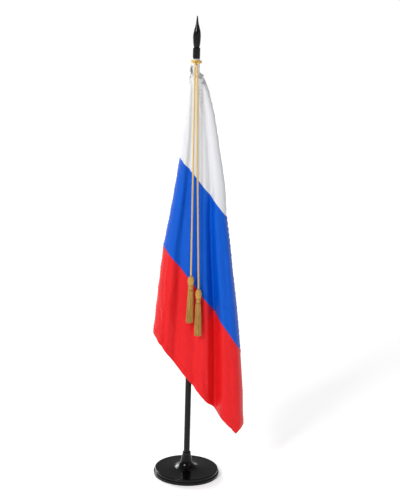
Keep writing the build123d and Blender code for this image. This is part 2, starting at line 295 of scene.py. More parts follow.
# %% [markdown]
# The binding is one thread in a coil so tight that each turn presses on the last, so its pitch is a
# little less than the thread's own thickness.

# %% Binding
BINDING_PITCH = 1.9 * THREAD_R
POINTS_PER_TURN = 22
PRESSED = 1.08  # the thread's radius in the coil over its own


def tassel_band(name, low, high):
    """The binding: a tight coil of thread round the neck."""
    middle = (low + high) / 2
    radius = (high.x - low.x) / 2 - THREAD_R
    turns = int((high.z - low.z) / BINDING_PITCH)
    wind = np.linspace(0, 2 * math.pi * turns, POINTS_PER_TURN * turns)
    height = np.linspace(high.z - THREAD_R, low.z + THREAD_R, len(wind))
    line = np.stack([middle.x + radius * np.cos(wind), middle.y + radius * np.sin(wind), height], 1)
    return make_object(name, *tube(line, THREAD_R * PRESSED, 6))

# %% [markdown]
# The threads of the skirt are placed like the seeds of a sunflower, one golden angle after another,
# which fills a round bundle evenly. Each then strays a little and ends at its own height. The draws
# are seeded, so the tassels are the same every time.

# %% Skirt
GOLDEN_ANGLE = 2.39996
SKIRT_STEPS = 12
SKIRT_TOP_SHARE = 0.58  # the bundle's radius at the binding over the skirt's
STRAY, WANDER, SHORTER = 0.12, 0.35, 0.05  # radians, radians, share of the length
BELL, LEAN_POWER = 0.55, 1.4  # how early the skirt spreads, and how late it leans
WAVE_DEEP, WAVES = 0.10, 9
draw = random.Random(11)


def tassel_skirt(name, low, high, lean):
    """Loose threads that hang from the binding, a little spread and uneven."""
    middle = (low + high) / 2
    top_r = SKIRT_TOP_SHARE * (high.x - low.x) / 2
    foot_r = (high.x - low.x) / 2 - THREAD_R
    parts = []
    for number in range(SKIRT_THREADS):
        share = math.sqrt((number + 0.5) / SKIRT_THREADS)
        turn = number * GOLDEN_ANGLE + draw.uniform(-STRAY, STRAY)
        length = (high.z - low.z) * (1 - SHORTER * draw.random() ** 2)
        wander = draw.uniform(-WANDER, WANDER)
        line = []
        for step in range(SKIRT_STEPS):
            drop = step / (SKIRT_STEPS - 1)
            ring = share * (top_r + (foot_r - top_r) * drop**BELL)
            angle = turn + wander * drop + WAVE_DEEP * math.sin(WAVES * drop + number)
            line.append((
                middle.x + ring * math.cos(angle) + lean * drop**LEAN_POWER,
                middle.y + ring * math.sin(angle),
                high.z - length * drop,
            ))
        parts.append(tube(line, THREAD_R, 5))
    return make_object(name, *joined(parts))

# %% [markdown]
# The tassel's three pieces hang on the far end of their strand. The strand and the pieces all ride on the
# tassel's body, so they swing together.

# %% Two tassels
tassel_pieces = {}
for side, lean in (("left", -0.4 * MM), ("right", 0.3 * MM)):
    head = tassel_head(f"{side}_head", *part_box(f"{side}_tassel_head"))
    band = tassel_band(f"{side}_binding", *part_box(f"{side}_tassel_band"))
    skirt = tassel_skirt(f"{side}_skirt", *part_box(f"{side}_tassel_skirt"), lean)
    tassel_pieces[side] = [head, band, skirt]
    for piece, node in zip(tassel_pieces[side], ("head", "band", "skirt")):
        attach(piece, f"{side}_tassel")
        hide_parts(f"{side}_tassel_{node}")
print(f"tassels: {SKIRT_THREADS} threads in each skirt, {HEAD_THREADS} over each head")

# %% [markdown]
# ## The sleeve
#
# The hoist of a desk flag ends in a narrow sleeve that the pole goes up through: a strip of the same
# satin, wrapped round and sewn along the flag's edge, with a turned hem at each end. A plain cylinder
# would look like card. So the strip is a closed double wall, thicker along its hems and its seam, and
# creased in faint rings between them, as cloth is that has been pushed up a pole.

# %% Sleeve
SLEEVE_ROW = 0.9 * MM
SLEEVE_AROUND = 40
SLEEVE_HEM, SLEEVE_SEAM = 3.0 * MM, 1.4 * MM
TURNED_IN = 0.06 * MM  # what a hem or the seam adds to the wall
CREASE_DEEP = 0.05 * MM
CREASES = ((310, 1, 0.6), (487, -2, 0.4))  # waves per metre of height, waves round, share of the depth
STITCH_INSET = 4.2 * MM  # of every line of stitches from its edge
sleeve_low, sleeve_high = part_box("hoist_sleeve")
sleeve_tall = sleeve_high.z - sleeve_low.z
sleeve_r = sleeve_high.x
bore_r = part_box("pole_tube")[1].x + 0.1 * MM


def ramp(distance, width):
    """1 on an edge, 0 beyond a width, with a short soft step."""
    t = np.clip((width - distance) / (0.35 * width) + 0.5, 0, 1)
    return t * t * (3 - 2 * t)


down, turn = np.meshgrid(
    np.linspace(0, sleeve_tall, int(sleeve_tall / SLEEVE_ROW) + 1),
    np.linspace(0, 2 * math.pi, SLEEVE_AROUND + 1), indexing="ij")
from_end = np.minimum(down, sleeve_tall - down)
from_seam = sleeve_r * np.minimum(turn, 2 * math.pi - turn)
doubled = np.maximum(ramp(from_end, SLEEVE_HEM), ramp(from_seam, SLEEVE_SEAM))
crease = 1 + sum(part * np.sin(2 * math.pi * waves * down + around * turn) for waves, around, part in CREASES)
outside = sleeve_r - (TURNED_IN + CREASE_DEEP * crease) * (1 - doubled)
# down the outside, and back up the inside; the turn starts at the flag's edge
rings = np.concatenate([outside, np.full_like(outside, bore_r)])
sunk, turn = np.concatenate([down, down[::-1]]), np.concatenate([turn, turn])
walls = np.stack([-rings * np.cos(turn), -rings * np.sin(turn), sleeve_high.z - sunk], -1)
strip = np.stack([sunk, STITCH_INSET - SLEEVE_SEAM + turn * sleeve_r], -1)
faces, on_strip = [], []
for i in range(len(walls)):
    below = (i + 1) % len(walls)
    for j in range(SLEEVE_AROUND):
        k = (j + 1) % SLEEVE_AROUND
        faces.append([row * SLEEVE_AROUND + step for row, step in ((i, j), (below, j), (below, k), (i, k))])
        on_strip += [strip[i, j], strip[below, j], strip[below, j + 1], strip[i, j + 1]]
sleeve = make_object("sleeve", walls[:, :-1].reshape(-1, 3), faces)
sleeve.data.uv_layers.new(name="flat").data.foreach_set("uv", np.array(on_strip, "f").ravel())
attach(sleeve, "flag")
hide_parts("hoist_sleeve")
print(f"sleeve: cut {2000 * math.pi * sleeve_r:.1f} by {sleeve_tall * 1000:.1f} mm, {len(faces)} faces")

# %% [markdown]
# ## How the flag hangs
#
# The flag is cut 300 by 200 mm. Its hoist edge is sewn to the sleeve, so the whole sheet hangs from
# its top corner and closes like a fan: every straight line of cloth that leaves that corner stays
# nearly straight, and the folds lie between such lines. So a point of the flag is known by its
# distance from the corner, its reach, and by its angle from the hoist, its cut angle. The fan says
# where each cut angle hangs: how far it turns from straight down, and how deep it lies in front of
# the pole or behind it. It is only a start. The cloth simulation below lets it find its own creases.

# %% The folds
HOIST, FLY = 0.200, 0.300
corner = Vector((sleeve_low.x, 0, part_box("white_panel")[1].z))

LEFT_CUT = 40.0  # cut angle of the fold at the left outline
# reach in mm, and the turn from straight down of the left and the right outline there
LEFT_OUTLINE = np.array([(0, -6.0), (89, -6.0), (174, -7.5), (260, -6.8)])
RIGHT_OUTLINE = np.array([
    (0, 42), (16, 42), (40, 30), (62, 24), (86, 20), (147, 14.8), (200, 13.0), (275, 11.4), (361, 9.6),
])
# reach in mm, and how wide the front is there over how much cloth is in it
SLACK = np.array([(0, 0.97), (150, 0.925), (285, 0.83), (361, 0.93)])
BIAS_GIVE = 0.016  # how much the cloth has given on the bias at the tip
# the cloth behind, between the hoist and the left fold: cut angle, turn, depth in mm
HOIST_FOLDS = np.array([
    (0, 0, 0), (5.5, -5.0, 3.0), (14, 3.5, 7.0), (23, 11.0, 9.0), (32, 2.5, 11.5), (38, -5.0, 8.5),
    (40, -6.3, 3.0),
])
# close to the corner the cloth has no room to go behind the pole, and stays in a pleat beside it:
# cut angle, depth, and then the reach in mm over which it gives way to the folds behind
PLEAT = np.array([(0, 0), (10, 1.6), (20, 3.0), (30, 2.8), (40, 1.5)])
PLEAT_ENDS = np.array([(0, 0), (18, 0), (60, 1), (400, 1)])
# the front: share of its width, and depth in mm before the middle of the front
FRONT_WAVES = np.array([
    (0.00, 9.0), (0.03, 5.0), (0.08, 1.0), (0.17, -2.6), (0.27, 2.2), (0.40, 0.2), (0.48, 1.2), (0.58, -2.6),
    (0.72, -1.0), (0.84, -2.6), (0.91, -1.2), (0.97, 2.5), (1.00, 9.0),
])
VALLEY_AT, VALLEY_WIDE, VALLEY_DEEP = 0.71, 0.055, 11.0  # the one deep fold in the front
VALLEY_STARTS, VALLEY_FULL = 0.05, 0.26  # reach
FRONT_FORWARD = 6.6  # how far the whole front lies before the pole, in mm
# the cloth beyond the right outline: share of it, turn back from the outline per degree of it, depth
FLY_FOLDS = np.array([
    (0.00, 0.00, 2.0), (0.05, -0.04, 7.5), (0.21, -0.20, 10.5), (0.245, -0.22, 11.5), (0.28, -0.20, 13.0),
    (0.46, -0.03, 14.0), (0.49, -0.02, 15.5), (0.52, -0.03, 17.0), (0.70, -0.20, 17.5), (0.735, -0.22, 18.5),
    (0.77, -0.20, 19.5), (0.95, -0.04, 20.5), (0.975, -0.03, 21.5), (1.00, -0.04, 22.5),
])
FULL_REACH = 0.22  # the folds are as deep as the tables say from here on
BACK_NEAR, FRONT_NEAR, FLY_NEAR = 0.45, 0.60, 0.15  # share of that depth at the corner
OFF_SLEEVE = 0.5 * MM
print("points of the folds:", [len(table) for table in (HOIST_FOLDS, FRONT_WAVES, FLY_FOLDS)])

# %% [markdown]
# The tables hold only the crests and the valleys. A smooth line goes through each table's points,
# because straight lines between them would leave creases that satin doesn't hold.

# %% Smooth lines
def smooth_through(at, table_x, table_y):
    """A smooth line through a table's points that doesn't overshoot them."""
    slopes = np.diff(table_y) / np.diff(table_x)
    middle = np.where(slopes[1:] * slopes[:-1] > 0, (slopes[1:] + slopes[:-1]) / 2, 0)
    ends = np.r_[slopes[0], middle, slopes[-1]]
    i = np.clip(np.searchsorted(table_x, at) - 1, 0, len(table_x) - 2)
    width = table_x[i + 1] - table_x[i]
    t = np.clip((at - table_x[i]) / width, 0, 1)
    start = (2 * t**3 - 3 * t**2 + 1) * table_y[i] + (t**3 - 2 * t**2 + t) * width * ends[i]
    return start + (3 * t**2 - 2 * t**3) * table_y[i + 1] + (t**3 - t**2) * width * ends[i + 1]

# %% [markdown]
# The left and the right outline of the hanging flag are the two strongest folds. Between them lies
# the front. How much cloth the front takes in follows from how wide it hangs and how wavy it is.

# %% Outlines
def outlines(u, v):
    """Reach and cut angle of flat points, and at their reach the turns of both outlines and the
    cut angle of the right one."""
    reach = np.hypot(u, v)
    cut = np.degrees(np.arctan2(u, np.maximum(v, 1e-9)))
    left, right, slack = (
        np.interp(reach, table[:, 0] * MM, table[:, 1]) for table in (LEFT_OUTLINE, RIGHT_OUTLINE, SLACK)
    )
    return reach, cut, left, right, np.minimum(LEFT_CUT + (right - left) / slack, 90)

# %% [markdown]
# The fan has three parts: the cloth behind the pole, the front, and the fly that is turned back
# behind the front. Each takes its turn and its depth from its own table, and the parts meet at the
# outlines.

# %% The fan
def fan(u, v):
    """Where points of the flat flag, u along the fly and v down the hoist, hang in the fan."""
    reach, cut, left_turn, edge_turn, edge_cut = outlines(u, v)
    far = np.clip(reach / FULL_REACH, 0, 1)

    back_turn = smooth_through(cut, HOIST_FOLDS[:, 0], HOIST_FOLDS[:, 1])
    back_turn += (left_turn - HOIST_FOLDS[-1, 1]) * cut / LEFT_CUT
    back_deep = smooth_through(cut, HOIST_FOLDS[:, 0], HOIST_FOLDS[:, 2])
    back_deep = back_deep * (BACK_NEAR + (1 - BACK_NEAR) * far)
    roomy = smooth_through(reach / MM, PLEAT_ENDS[:, 0], PLEAT_ENDS[:, 1])
    pleat = smooth_through(cut, PLEAT[:, 0], PLEAT[:, 1])
    back_turn = left_turn * cut / LEFT_CUT * (1 - roomy) + back_turn * roomy
    back_deep = pleat * (1 - roomy) + back_deep * roomy

    share = np.clip((cut - LEFT_CUT) / (edge_cut - LEFT_CUT), 0, 1)
    front_turn = left_turn + (edge_turn - left_turn) * share
    front_deep = smooth_through(share, FRONT_WAVES[:, 0], FRONT_WAVES[:, 1])
    front_deep = (front_deep - FRONT_FORWARD) * (FRONT_NEAR + (1 - FRONT_NEAR) * far)
    front_deep = front_deep * (1 - 0.5 * share * (1 - far))

    valley = np.exp(-(((share - VALLEY_AT) / VALLEY_WIDE) ** 2))
    deepens = np.clip((reach - VALLEY_STARTS) / (VALLEY_FULL - VALLEY_STARTS), 0, 1)
    front_deep += VALLEY_DEEP * valley * deepens

    past = np.clip((cut - edge_cut) / np.maximum(90 - edge_cut, 1e-6), 0, 1)
    back_turned = smooth_through(past, FLY_FOLDS[:, 0], FLY_FOLDS[:, 1])
    fly_turn = edge_turn + back_turned * (90 - edge_cut)
    fly_deep = smooth_through(past, FLY_FOLDS[:, 0], FLY_FOLDS[:, 2]) * (FLY_NEAR + (1 - FLY_NEAR) * far)

    reach = reach * (1 + BIAS_GIVE * (reach / math.hypot(HOIST, FLY)) ** 2 * np.sin(np.radians(2 * cut)))
    behind, before = cut <= LEFT_CUT, cut <= edge_cut
    turn = np.radians(np.where(behind, back_turn, np.where(before, front_turn, fly_turn)))
    deep = MM * np.where(behind, back_deep, np.where(before, front_deep, fly_deep))
    x, y, z = corner.x + reach * np.sin(turn), deep, corner.z - reach * np.cos(turn)
    # the cloth lies outside the sleeve
    out = np.maximum(np.hypot(x, y), 1e-6)
    push = np.where(u > 0, np.maximum((sleeve_r + OFF_SLEEVE) / out, 1), 1)
    return np.stack([x * push, y * push, z], -1)

# %% [markdown]
# The flat flag is a grid of points, about 2.5 mm apart, with a row on each line between two stripes,
# so that the stripes can be parted there later.

# %% The grid
ROWS_PER_STRIPE, COLUMNS = 27, 121
rows = 3 * ROWS_PER_STRIPE
flat_u, flat_v = np.meshgrid(np.linspace(0, FLY, COLUMNS + 1), np.linspace(0, HOIST, rows + 1))
hung = fan(flat_u, flat_v)
print(f"flag: {flat_u.size} points, hangs from z {corner.z * 1000:.0f} to {hung[..., 2].min() * 1000:.0f} mm")

# %% [markdown]
# ## Let the cloth settle
#
# The fan is right in the large but too tidy: real satin bulges between its folds and creases where
# the cloth is pulled tight. So a cloth simulation runs from the fan. The flat cut is its rest shape,
# which keeps every thread's length. The hoist is sewn to the sleeve, so it is pinned. The two
# outlines are held more softly, and the rest is free but for gravity, the pole and itself.

# %% How firmly the cloth is held
HOLD_OUTLINE, OUTLINE_WIDE = 0.95, 0.004
HOLD_FRONT, HOLD_BACK = 0.15, 0.16
HOLD_CORD, CORD_AT, CORD_WIDE = 0.25, 0.37, 0.10  # where the cord lies, as a share of the front's width
HOLD_VALLEY = 0.5
HOLD_CORNER, CORNER_REACH = 0.8, 0.03


def grid_faces(down, across):
    """Faces of a grid with that many points down and across."""
    start = np.arange(down * across).reshape(down, across)
    corners = (start[:-1, :-1], start[1:, :-1], start[1:, 1:], start[:-1, 1:])
    return [tuple(int(i) for i in face) for face in np.stack(corners, -1).reshape(-1, 4)]


def hold():
    """How firmly each point of the grid is held where the fan puts it, and its reach."""
    reach, cut, _, _, edge_cut = outlines(flat_u, flat_v)
    off_fold = np.minimum(abs(cut - LEFT_CUT), abs(cut - edge_cut)) * reach * math.pi / 180
    share = (cut - LEFT_CUT) / (edge_cut - LEFT_CUT)
    rest = np.where((share > 0) & (share < 1), HOLD_FRONT, HOLD_BACK)
    # under the cord the cloth is pressed back a little
    rest = rest + HOLD_CORD * np.exp(-(((share - CORD_AT) / CORD_WIDE) ** 2))
    rest = rest + HOLD_VALLEY * np.exp(-(((share - VALLEY_AT) / VALLEY_WIDE) ** 2))
    held = rest + (HOLD_OUTLINE - rest) * np.exp(-((off_fold / OUTLINE_WIDE) ** 2))
    held = np.where(reach < CORNER_REACH, np.maximum(held, HOLD_CORNER), held)
    held[:, 0] = 1
    return held, reach


firmly = hold()[0]
print(f"held: {firmly.mean():.2f} on the whole, {(firmly > 0.5).mean():.0%} of the points firmly")

# %% [markdown]
# The values below are those of a light satin in metres and kilograms. The damping is high, because
# only the resting shape is wanted, not the movement. Close to the corner the layers lie so near each
# other that testing them against one another would only push them apart, so they are left out.

# %% Cloth simulation
SETTLE_FRAMES = 36
CROWDED_REACH = 0.06
CLOTH = {
    "quality": 8, "mass": 0.004,
    "tension_stiffness": 30, "compression_stiffness": 30, "shear_stiffness": 8, "bending_stiffness": 0.12,
    "tension_damping": 15, "compression_damping": 15, "shear_damping": 5, "bending_damping": 1,
    "air_damping": 4, "pin_stiffness": 4.0, "vertex_group_mass": "pins",
}
TOUCHING = {
    "use_collision": True, "distance_min": 0.3 * MM,
    "use_self_collision": True, "self_distance_min": 0.7 * MM, "vertex_group_self_collisions": "crowded",
}


def cloth_grid(shape):
    """The grid as a mesh that hangs in a shape and remembers the flat cut, with its pinned points."""
    down, across = shape.shape[:2]
    cloth = make_object("cloth_start", shape.reshape(-1, 3), grid_faces(down, across), smooth=False)
    cloth.shape_key_add(name="Hung")
    flat_key = cloth.shape_key_add(name="Flat")
    flat = np.stack([flat_u, np.zeros_like(flat_u), -flat_v], -1) + np.array(corner)
    flat_key.data.foreach_set("co", flat.astype("f").ravel())

    held, reach = hold()
    pins = cloth.vertex_groups.new(name="pins")
    for index, weight in enumerate(held.ravel()):
        pins.add([index], float(weight), "REPLACE")
    crowded = cloth.vertex_groups.new(name="crowded")
    crowded.add([int(i) for i in np.flatnonzero(reach.ravel() < CROWDED_REACH)], 1.0, "REPLACE")
    return cloth, flat_key


def settle(shape):
    """The grid of points after the cloth has settled from a first shape."""
    cloth, flat_key = cloth_grid(shape)
    modifier = cloth.modifiers.new("Cloth", "CLOTH")
    for values, target in ((CLOTH, modifier.settings), (TOUCHING, modifier.collision_settings)):
        for key, value in values.items():
            setattr(target, key, value)
    modifier.settings.rest_shape_key = flat_key

    # a plain post as thick as the sleeve, from just above the base to the top
    post = [(0, 0, sleeve_low.z - sleeve_tall + 0.03), (0, 0, sleeve_low.z), (0, 0, sleeve_high.z)]
    stand_in = make_object("pole_stand_in", *tube(post, sleeve_r, 24))
    stand_in.modifiers.new("Collision", "COLLISION")
    stand_in.collision.thickness_outer = 0.2 * MM

    scene = bpy.context.scene
    scene.frame_start, scene.frame_end = 1, SETTLE_FRAMES
    modifier.point_cache.frame_start, modifier.point_cache.frame_end = 1, SETTLE_FRAMES
    for frame_number in range(1, SETTLE_FRAMES + 1):
        scene.frame_set(frame_number)
    settled = cloth.evaluated_get(bpy.context.evaluated_depsgraph_get()).to_mesh()
    places = np.empty(len(settled.vertices) * 3, "f")
    settled.vertices.foreach_get("co", places)
    scene.frame_set(1)
    bpy.data.objects.remove(cloth)
    bpy.data.objects.remove(stand_in)
    return places.reshape(shape.shape).astype(float)


def stretch(shape):
    """Length of the grid's threads over their flat length: mean, least, 1%, 99%, most."""
    along = np.linalg.norm(np.diff(shape, axis=1), axis=2) / (FLY / COLUMNS)
    across = np.linalg.norm(np.diff(shape, axis=0), axis=2) / (HOIST / rows)
    every = np.concatenate([along.ravel(), across.ravel()])
    return every.mean(), every.min(), np.percentile(every, 1), np.percentile(every, 99), every.max()


print("fan's threads over flat:", np.round(stretch(hung), 2))
hung = settle(hung)
print("settled:", np.round(stretch(hung), 2))

# %% [markdown]
# ## The three stripes
#
# The stripes are sewn together. Each is a doubled surface, front and back, with a turned hem along
# the outer edges and a ridge where two stripes meet, so their thickness can be seen at the edges. A
# smooth curve through the settled points gives enough points for round folds.

# %% Stripes
FINER = 3
SATIN = 0.28 * MM
HEM_WIDE, HEM_THICK = 5.0 * MM, 0.22 * MM
SEAM_WIDE, SEAM_THICK = 1.6 * MM, 0.16 * MM


def finer(values, times):
    """Points of a smooth curve through the values along their first axis, times as many."""
    padded = np.concatenate([2 * values[:1] - values[1:2], values, 2 * values[-1:] - values[-2:-1]])
    before, start, end, after = padded[:-3], padded[1:-2], padded[2:-1], padded[3:]
    steps = []
    for step in range(times):
        t = step / times
        steps.append(0.5 * (
            2 * start + (end - before) * t + (2 * before - 5 * start + 4 * end - after) * t**2
            + (3 * start - before - 3 * end + after) * t**3
        ))
    woven = np.stack(steps, 1).reshape(-1, *values.shape[1:])
    return np.concatenate([woven, values[-1:]])


fine = finer(finer(hung, FINER).swapaxes(0, 1), FINER).swapaxes(0, 1)
down, across = fine.shape[:2]
fine_u, fine_v = np.meshgrid(np.linspace(0, FLY, across), np.linspace(0, HOIST, down))
normals = np.cross(np.gradient(fine, axis=1), np.gradient(fine, axis=0))
normals /= np.linalg.norm(normals, axis=2, keepdims=True)

# %% [markdown]
# A stripe is the middle surface moved out to both sides along its normals by half its thickness, with
# a strip of faces round the rim to close it. Its flat cut is kept as the UV map for the weave.

# %% One stripe
def stripe(name, first, last):
    """One stripe as a closed mesh, between two rows of the fine grid."""
    rows_here = slice(first, last + 1)
    middle, normal = fine[rows_here], normals[rows_here]
    u, v = fine_u[rows_here], fine_v[rows_here]
    outer = np.minimum(FLY - u, np.minimum(v, HOIST - v))
    thick = SATIN / 2 + HEM_THICK * ramp(outer, HEM_WIDE)
    for seam_v in (HOIST / 3, 2 * HOIST / 3):
        thick = thick + SEAM_THICK * ramp(abs(v - seam_v), SEAM_WIDE)
    high, wide = middle.shape[:2]
    sides = [middle + normal * thick[..., None], middle - normal * thick[..., None]]
    points = np.concatenate([side.reshape(-1, 3) for side in sides])
    front = np.array(grid_faces(high, wide))
    count = high * wide
    faces = [tuple(int(i) for i in face) for face in front[:, ::-1]]
    faces += [tuple(int(i) for i in face + count) for face in front]
    index = np.arange(count).reshape(high, wide)
    rim = np.concatenate([index[0], index[1:, -1], index[-1, -2::-1], index[-2:0:-1, 0]])
    for here, after in zip(rim, np.roll(rim, -1)):
        faces.append((int(here), int(here) + count, int(after) + count, int(after)))
    made = make_object(name, points, faces)
    layer = made.data.uv_layers.new(name="flat")
    flat = np.stack([np.tile(u.ravel(), 2), np.tile(v.ravel(), 2)], 1)
    loops = np.empty(len(made.data.loops), int)
    made.data.loops.foreach_get("vertex_index", loops)
    layer.data.foreach_set("uv", flat[loops].astype("f").ravel())
    return made

# %% Three stripes
flag = {}
per_stripe = ROWS_PER_STRIPE * FINER
for number, colour in enumerate(("white", "blue", "red")):
    flag[colour] = stripe(f"{colour}_stripe", number * per_stripe, (number + 1) * per_stripe)
    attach(flag[colour], "flag")
    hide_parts(f"{colour}_panel")
print("stripes:", {colour: len(piece.data.vertices) for colour, piece in flag.items()}, "points")

# %% [markdown]
# ## A way to write materials
#
# Every finish is worked out by nodes. A wire is a node's output that can be added, multiplied or
# compared in plain Python, so that the shading reads as sums.

# %% Material helpers
class Wire:
    """A node's output that works in sums."""

    def __init__(self, finish, socket):
        self.finish, self.socket = finish, socket

    def maths(self, operation, *values):
        node = self.finish.node("Math", {"operation": operation}, dict(enumerate(values)))
        return Wire(self.finish, node.outputs[0])

    def __add__(self, other): return self.maths("ADD", self, other)
    def __radd__(self, other): return self.maths("ADD", other, self)
    def __sub__(self, other): return self.maths("SUBTRACT", self, other)
    def __rsub__(self, other): return self.maths("SUBTRACT", other, self)
    def __mul__(self, other): return self.maths("MULTIPLY", self, other)
    def __rmul__(self, other): return self.maths("MULTIPLY", other, self)
    def __truediv__(self, other): return self.maths("DIVIDE", self, other)
    def __pow__(self, other): return self.maths("POWER", self, other)
    def __lt__(self, other): return self.maths("LESS_THAN", self, other)
    def __gt__(self, other): return self.maths("GREATER_THAN", self, other)
    def __mod__(self, other): return self.maths("FLOORED_MODULO", self, other)
    def __abs__(self): return self.maths("ABSOLUTE", self)
    def sine(self): return self.maths("SINE", self)

# %% [markdown]
# A tree of nodes has one way to add a node: its type, then its settings, then its sockets. The sky
# uses it too. A finish is such a tree with a glossy surface of everything at its end.

# %% Trees of nodes
class Shading:
    """A tree of nodes being made."""

    def __init__(self, tree, last):
        self.tree = tree
        self.surface = tree.nodes[last]

    def feed(self, node, sockets):
        """Sets or links a node's inputs."""
        for key, value in sockets.items():
            if isinstance(value, Wire):
                self.tree.links.new(value.socket, node.inputs[key])
            elif isinstance(value, bpy.types.NodeSocket):
                self.tree.links.new(value, node.inputs[key])
            else:
                node.inputs[key].default_value = value

    def node(self, kind, settings=None, sockets=None):
        """Any node: its type, its settings, then its inputs by name or number."""
        made = self.tree.nodes.new(f"ShaderNode{kind}")
        for key, value in (settings or {}).items():
            setattr(made, key, value)
        self.feed(made, sockets or {})
        return made

    def wire(self, node, output=0):
        """One output of a node as a wire."""
        return Wire(self, node.outputs[output])

    def place(self, kind="Object"):
        """The piece's own coordinates, or its flat cut as UV."""
        return self.node("TexCoord").outputs[kind]

    def noise(self, scale, detail=2.0, at=None):
        """Soft noise, about 0.3 to 0.7."""
        sockets = {"Scale": scale, "Detail": detail, "Vector": at or self.place()}
        return self.wire(self.node("TexNoise", {}, sockets))

    def mixed(self, share, low, high):
        """A colour between two."""
        made = self.node("Mix", {"data_type": "RGBA"}, {0: share, 6: low, 7: high})
        return made.outputs[2]

# %% Finishes
class Finish(Shading):
    """A material being made, with its surface's own values."""

    def __init__(self, name, **values):
        self.material = bpy.data.materials.new(name)
        self.material.use_nodes = True
        super().__init__(self.material.node_tree, "Principled BSDF")
        named = {key.replace("_", " ").title().replace("Ior", "IOR"): value for key, value in values.items()}
        self.feed(self.surface, named)

    def bump(self, height, distance, strength=1.0):
        """Feeds a height to the surface as a bump of that real depth."""
        made = self.node("Bump", {}, {"Height": height, "Distance": distance, "Strength": strength})
        self.feed(self.surface, {"Normal": made.outputs[0]})

    def on(self, *pieces):
        """Puts the material on pieces."""
        for piece in pieces:
            piece.data.materials.clear()
            piece.data.materials.append(self.material)

# %% Colours
def colour(hex_code):
    """A linear colour from an sRGB hex code."""
    parts = [int(hex_code[i : i + 2], 16) / 255 for i in (0, 2, 4)]
    return (*[p / 12.92 if p <= 0.04045 else ((p + 0.055) / 1.055) ** 2.4 for p in parts], 1.0)


def grey(light):
    """A linear grey."""
    return (light, light, light, 1.0)

# %% [markdown]
# ## Satin
#
# Satin floats most of its warp threads on the face, so it shines along one direction in soft broad
# streaks, and a little of its colour shows in the shine. The weave is about four threads to the
# millimetre. A line of stitches runs along each hem and beside each seam.

# %% Satin
THREADS = 1 / (0.26 * MM)
STITCH, STITCH_SHARE = 2.4 * MM, 0.8  # from stitch to stitch, and how much of that is thread
STITCH_WIDE = 0.16 * MM  # half its width
BESIDE_SEAM = 1.0 * MM
WEAVE_DEEP = 0.05 * MM
WARP_SHARE, WEFT_SHARE, SLUB_SHARE, STITCH_HIGH = 0.35, 0.2, 1.5, 1.2  # of the weave's depth
SHINE_TINT = 0.75  # how much of the colour shows in the shine


def satin(name, base, shade, rough=0.40):
    """A satin finish between two colours, from the flat cut's coordinates."""
    shine = tuple(SHINE_TINT * part + 1 - SHINE_TINT for part in base)
    cloth = Finish(name, specular_ior_level=0.55, specular_tint=shine)
    flat = cloth.node("SeparateXYZ", {}, {0: cloth.place("UV")})
    u, v = cloth.wire(flat, 0), cloth.wire(flat, 1)
    warp = (u * (THREADS * 2 * math.pi)).sine()
    weft = (v * (THREADS * 2 * math.pi)).sine()
    drawn_out = cloth.node("Mapping", {}, {0: cloth.place("UV"), "Scale": (1, 12, 1)})
    slub = cloth.noise(90.0, 4.0, drawn_out.outputs[0])
    # stitches: short dashes on lines inside the hems and beside the seams
    lines = None
    for line, run in (
        (v - STITCH_INSET, u), (HOIST - v - STITCH_INSET, u), (FLY - u - STITCH_INSET, v),
        (v - (HOIST / 3 - BESIDE_SEAM), u), (v - (HOIST * 2 / 3 - BESIDE_SEAM), u),
    ):
        dash = (abs(line) < STITCH_WIDE) * ((run % STITCH) < STITCH_SHARE * STITCH)
        lines = dash if lines is None else lines.maths("MAXIMUM", lines, dash)
    height = warp * WARP_SHARE + weft * WEFT_SHARE + slub * SLUB_SHARE + lines * STITCH_HIGH
    cloth.bump(height, WEAVE_DEEP, 0.7)
    cloth.feed(cloth.surface, {
        "Base Color": cloth.mixed(slub * 0.8 + lines * 0.3, base, shade),
        "Roughness": slub * 0.12 + (rough - 0.06),
    })
    return cloth


WHITE, WHITE_SHADE = colour("e2e3e6"), colour("d6d7dc")
satin("white_satin", WHITE, WHITE_SHADE).on(flag["white"])
satin("blue_satin", colour("005cd0"), colour("004cb8")).on(flag["blue"])
satin("red_satin", colour("ea2226"), colour("d8161b")).on(flag["red"])
satin("sleeve_satin", WHITE, WHITE_SHADE).on(sleeve)
print("satin: four finishes,", f"{THREADS * MM:.1f} threads to the millimetre")

# %% [markdown]
# ## Gold cord and thread
#
# The cord is rayon yarn: yellow gold and silky, with painted shade in its colour down between the yarns.
# Each yarn is made of fine fibres that run along it, which show as slanting streaks.

# %% Gold thread
PAINTED_SHADE_REACH = 1.2 * MM  # how near another yarn has to be to paint shade on this one
PAINTED_SHADE_POWER, PAINTED_SHADE_SHARE, FIBRE_SHARE = 1.5, 0.75, 0.3
FIBRE_DEEP = 0.08 * MM


def gold(name, fibre_scale, deep, bright):
    """A silky gold yarn, between a dark colour and a light one, mixed by painted shade between the yarns and
    by the fibres.
    """
    yarn = Finish(name, roughness=0.42, sheen_weight=0.2, sheen_roughness=0.4, specular_ior_level=0.55)
    fibres = yarn.noise(fibre_scale, 3.0)
    # painted shade: the colour darkens where other yarns are near, and the fibres add streaks of tone
    painted_shade = yarn.node("AmbientOcclusion", {"samples": 8}, {"Distance": PAINTED_SHADE_REACH})
    shade = yarn.wire(painted_shade, "AO") ** PAINTED_SHADE_POWER * PAINTED_SHADE_SHARE + fibres * FIBRE_SHARE
    yarn.feed(yarn.surface, {"Base Color": yarn.mixed(shade, colour(deep), colour(bright))})
    yarn.bump(fibres, FIBRE_DEEP, 0.6)
    return yarn


gold("gold_cord", 2600.0, "8a5f1c", "efcb6e").on(strands["left"], strands["right"], loop, knot)
gold("gold_thread", 3400.0, "643c10", "d4a042").on(*tassel_pieces["left"], *tassel_pieces["right"])

# %% [markdown]
# ## Black plastic and the hidden parts
#
# The base, the pole and the finial are glossy black mouldings. Up close, gloss plastic has a faint
# waviness from the mould and a few hairline scuffs that change only its roughness. The iron weight,
# the steel plate, its screws and the felt pad show only from below, and get a plain grained finish.

